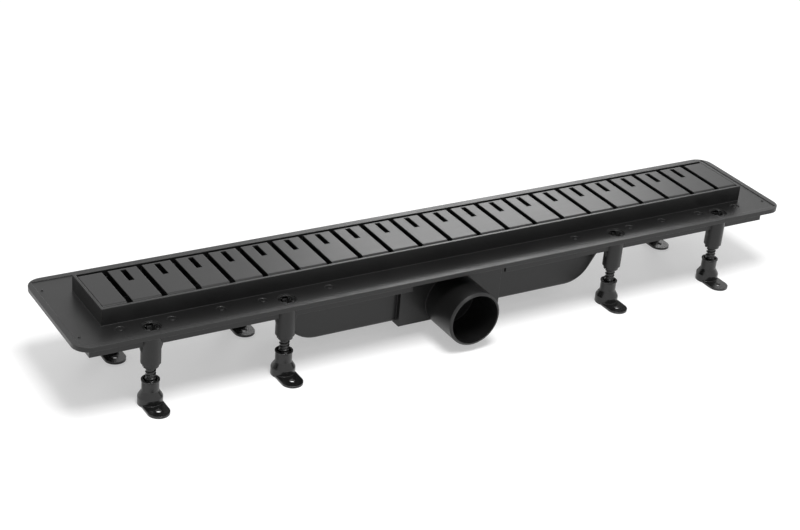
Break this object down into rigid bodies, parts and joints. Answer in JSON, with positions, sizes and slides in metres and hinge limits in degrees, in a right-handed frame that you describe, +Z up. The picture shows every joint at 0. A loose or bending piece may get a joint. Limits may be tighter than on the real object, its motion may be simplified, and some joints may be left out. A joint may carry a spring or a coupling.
{
  "type": "channel drain",
  "caption": "Long linear floor drain: black plastic channel with a wide flange and side outlet, a folded slotted grate, a lift-out odour trap and adjustable screw feet.",
  "frame": {"origin": "on the floor under the middle of the bounding box", "axes": "+X along the channel, +Y away from the outlet, +Z up"},
  "size_m": [0.7, 0.1366, 0.0845],
  "materials": {
    "body_plastic": "matte black moulded polypropylene",
    "grate_steel": "satin black coat on folded stainless sheet",
    "trap_plastic": "matte black moulded plastic",
    "seal_rubber": "soft black rubber",
    "leg_plastic": "satin black moulded plastic"
  },
  "bodies": {
    "channel": {"channel_body": "body_plastic", "trap_box": "trap_plastic", "trap_seal": "seal_rubber", "trap_hood": "trap_plastic"},
    "grate": {"grate": "grate_steel"},
    "front_screw_1": {"front_screw_1": "leg_plastic"},
    "front_foot_1": {"front_foot_1": "leg_plastic"},
    "front_screw_2": {"front_screw_2": "leg_plastic"},
    "front_foot_2": {"front_foot_2": "leg_plastic"},
    "front_screw_3": {"front_screw_3": "leg_plastic"},
    "front_foot_3": {"front_foot_3": "leg_plastic"},
    "front_screw_4": {"front_screw_4": "leg_plastic"},
    "front_foot_4": {"front_foot_4": "leg_plastic"},
    "rear_screw_1": {"rear_screw_1": "leg_plastic"},
    "rear_foot_1": {"rear_foot_1": "leg_plastic"},
    "rear_screw_2": {"rear_screw_2": "leg_plastic"},
    "rear_foot_2": {"rear_foot_2": "leg_plastic"},
    "rear_screw_3": {"rear_screw_3": "leg_plastic"},
    "rear_foot_3": {"rear_foot_3": "leg_plastic"},
    "rear_screw_4": {"rear_screw_4": "leg_plastic"},
    "rear_foot_4": {"rear_foot_4": "leg_plastic"}
  },
  "joints": [
    {"name": "grate_lift", "type": "slide", "parent": "channel", "child": "grate", "axis": [0, 0, 1], "range_m": [0, 0.04]},
    {"name": "front_screw_1_turn", "type": "hinge", "parent": "channel", "child": "front_screw_1", "pos_m": [-0.2836, -0.03665, 0.0649], "axis": [0, 0, 1], "range_deg": [-720, 540]},
    {"name": "front_foot_1_travel", "type": "slide", "parent": "channel", "child": "front_foot_1", "axis": [0, 0, 1], "range_m": [-0.0045, 0.006]},
    {"name": "front_screw_2_turn", "type": "hinge", "parent": "channel", "child": "front_screw_2", "pos_m": [-0.1656, -0.03665, 0.0649], "axis": [0, 0, 1], "range_deg": [-720, 540]},
    {"name": "front_foot_2_travel", "type": "slide", "parent": "channel", "child": "front_foot_2", "axis": [0, 0, 1], "range_m": [-0.0045, 0.006]},
    {"name": "front_screw_3_turn", "type": "hinge", "parent": "channel", "child": "front_screw_3", "pos_m": [0.1656, -0.03665, 0.0649], "axis": [0, 0, 1], "range_deg": [-720, 540]},
    {"name": "front_foot_3_travel", "type": "slide", "parent": "channel", "child": "front_foot_3", "axis": [0, 0, 1], "range_m": [-0.0045, 0.006]},
    {"name": "front_screw_4_turn", "type": "hinge", "parent": "channel", "child": "front_screw_4", "pos_m": [0.2836, -0.03665, 0.0649], "axis": [0, 0, 1], "range_deg": [-720, 540]},
    {"name": "front_foot_4_travel", "type": "slide", "parent": "channel", "child": "front_foot_4", "axis": [0, 0, 1], "range_m": [-0.0045, 0.006]},
    {"name": "rear_screw_1_turn", "type": "hinge", "parent": "channel", "child": "rear_screw_1", "pos_m": [-0.2836, 0.05315, 0.0649], "axis": [0, 0, 1], "range_deg": [-720, 540]},
    {"name": "rear_foot_1_travel", "type": "slide", "parent": "channel", "child": "rear_foot_1", "axis": [0, 0, 1], "range_m": [-0.0045, 0.006]},
    {"name": "rear_screw_2_turn", "type": "hinge", "parent": "channel", "child": "rear_screw_2", "pos_m": [-0.1656, 0.05315, 0.0649], "axis": [0, 0, 1], "range_deg": [-720, 540]},
    {"name": "rear_foot_2_travel", "type": "slide", "parent": "channel", "child": "rear_foot_2", "axis": [0, 0, 1], "range_m": [-0.0045, 0.006]},
    {"name": "rear_screw_3_turn", "type": "hinge", "parent": "channel", "child": "rear_screw_3", "pos_m": [0.1656, 0.05315, 0.0649], "axis": [0, 0, 1], "range_deg": [-720, 540]},
    {"name": "rear_foot_3_travel", "type": "slide", "parent": "channel", "child": "rear_foot_3", "axis": [0, 0, 1], "range_m": [-0.0045, 0.006]},
    {"name": "rear_screw_4_turn", "type": "hinge", "parent": "channel", "child": "rear_screw_4", "pos_m": [0.2836, 0.05315, 0.0649], "axis": [0, 0, 1], "range_deg": [-720, 540]},
    {"name": "rear_foot_4_travel", "type": "slide", "parent": "channel", "child": "rear_foot_4", "axis": [0, 0, 1], "range_m": [-0.0045, 0.006]}
  ],
  "couplings": [
    {"joint": "front_screw_1_turn", "follows": "front_foot_1_travel", "rad_per_m": -2094.4},
    {"joint": "front_screw_2_turn", "follows": "front_foot_2_travel", "rad_per_m": -2094.4},
    {"joint": "front_screw_3_turn", "follows": "front_foot_3_travel", "rad_per_m": -2094.4},
    {"joint": "front_screw_4_turn", "follows": "front_foot_4_travel", "rad_per_m": -2094.4},
    {"joint": "rear_screw_1_turn", "follows": "rear_foot_1_travel", "rad_per_m": -2094.4},
    {"joint": "rear_screw_2_turn", "follows": "rear_foot_2_travel", "rad_per_m": -2094.4},
    {"joint": "rear_screw_3_turn", "follows": "rear_foot_3_travel", "rad_per_m": -2094.4},
    {"joint": "rear_screw_4_turn", "follows": "rear_foot_4_travel", "rad_per_m": -2094.4}
  ]
}
